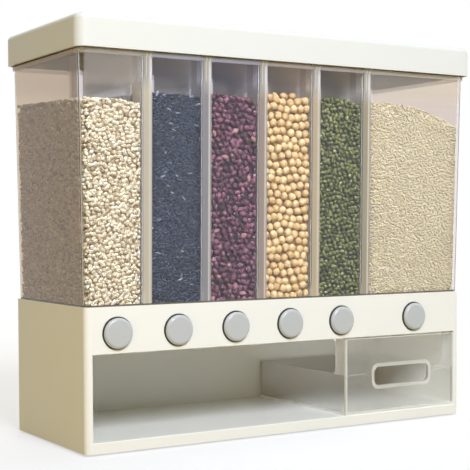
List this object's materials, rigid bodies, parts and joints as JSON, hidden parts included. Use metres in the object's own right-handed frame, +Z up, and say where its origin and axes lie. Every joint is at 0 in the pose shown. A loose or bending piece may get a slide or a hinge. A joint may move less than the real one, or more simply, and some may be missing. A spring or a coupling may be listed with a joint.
{
  "type": "wall-mounted grain dispenser",
  "caption": "Clear grain tank with separate compartments over a white base; push buttons open gates above a shelf with a frosted cup.",
  "frame": {"origin": "under the middle of the object, on the plane its feet stand on", "axes": "+X along the front to the right as a user faces it, +Y towards the wall, +Z up"},
  "size_m": [0.406, 0.154, 0.3485],
  "materials": {
    "ivory_plastic": "moulded ABS, fine satin gloss",
    "lid_plastic": "moulded ABS, satin gloss",
    "inner_plastic": "moulded polypropylene",
    "clear_plastic": "clear polished plastic",
    "frosted_plastic": "frosted translucent plastic",
    "button_plastic": "light grey moulded plastic",
    "foot_rubber": "moulded rubber",
    "seal_silicone": "soft silicone",
    "screw_steel": "zinc-plated steel",
    "spring_steel": "drawn spring steel",
    "pearl_barley": "dry pearl barley",
    "black_rice": "dry black rice",
    "red_beans": "dry red beans",
    "soybeans": "dry soybeans",
    "mung_beans": "dry mung beans",
    "white_rice": "dry white rice"
  },
  "bodies": {
    "base_assembly": {"housing": "ivory_plastic", "rubber_feet": "foot_rubber", "tank": "clear_plastic", "funnel_tray": "inner_plastic", "gate_cover": "inner_plastic", "clamp_screws": "screw_steel", "grain_pearl_barley": "pearl_barley", "grain_black_rice": "black_rice", "grain_red_beans": "red_beans", "grain_soybeans": "soybeans", "grain_mung_beans": "mung_beans", "grain_white_rice": "white_rice"},
    "lid_body": {"lid": "lid_plastic", "lid_seal": "seal_silicone"},
    "cup_body": {"cup": "frosted_plastic"},
    "button_1": {"button_cap_1": "button_plastic", "gate_1": "inner_plastic", "return_spring_1": "spring_steel"},
    "button_2": {"button_cap_2": "button_plastic", "gate_2": "inner_plastic", "return_spring_2": "spring_steel"},
    "button_3": {"button_cap_3": "button_plastic", "gate_3": "inner_plastic", "return_spring_3": "spring_steel"},
    "button_4": {"button_cap_4": "button_plastic", "gate_4": "inner_plastic", "return_spring_4": "spring_steel"},
    "button_5": {"button_cap_5": "button_plastic", "gate_5": "inner_plastic", "return_spring_5": "spring_steel"},
    "button_6": {"button_cap_6": "button_plastic", "gate_6": "inner_plastic", "return_spring_6": "spring_steel"}
  },
  "joints": [
    {"name": "lid_lift", "type": "slide", "parent": "base_assembly", "child": "lid_body", "axis": [0, 0, 1], "range_m": [0, 0.06]},
    {"name": "cup_slide", "type": "slide", "parent": "base_assembly", "child": "cup_body", "axis": [0, -1, 0], "range_m": [0, 0.15]},
    {"name": "button_1_press", "type": "slide", "parent": "base_assembly", "child": "button_1", "axis": [0, 1, 0], "range_m": [0, 0.014], "stiffness_N_per_m": 300, "springref_m": -0.004, "deforming": ["return_spring_1"]},
    {"name": "button_2_press", "type": "slide", "parent": "base_assembly", "child": "button_2", "axis": [0, 1, 0], "range_m": [0, 0.014], "stiffness_N_per_m": 300, "springref_m": -0.004, "deforming": ["return_spring_2"]},
    {"name": "button_3_press", "type": "slide", "parent": "base_assembly", "child": "button_3", "axis": [0, 1, 0], "range_m": [0, 0.014], "stiffness_N_per_m": 300, "springref_m": -0.004, "deforming": ["return_spring_3"]},
    {"name": "button_4_press", "type": "slide", "parent": "base_assembly", "child": "button_4", "axis": [0, 1, 0], "range_m": [0, 0.014], "stiffness_N_per_m": 300, "springref_m": -0.004, "deforming": ["return_spring_4"]},
    {"name": "button_5_press", "type": "slide", "parent": "base_assembly", "child": "button_5", "axis": [0, 1, 0], "range_m": [0, 0.014], "stiffness_N_per_m": 300, "springref_m": -0.004, "deforming": ["return_spring_5"]},
    {"name": "button_6_press", "type": "slide", "parent": "base_assembly", "child": "button_6", "axis": [0, 1, 0], "range_m": [0, 0.014], "stiffness_N_per_m": 300, "springref_m": -0.004, "deforming": ["return_spring_6"]}
  ]
}
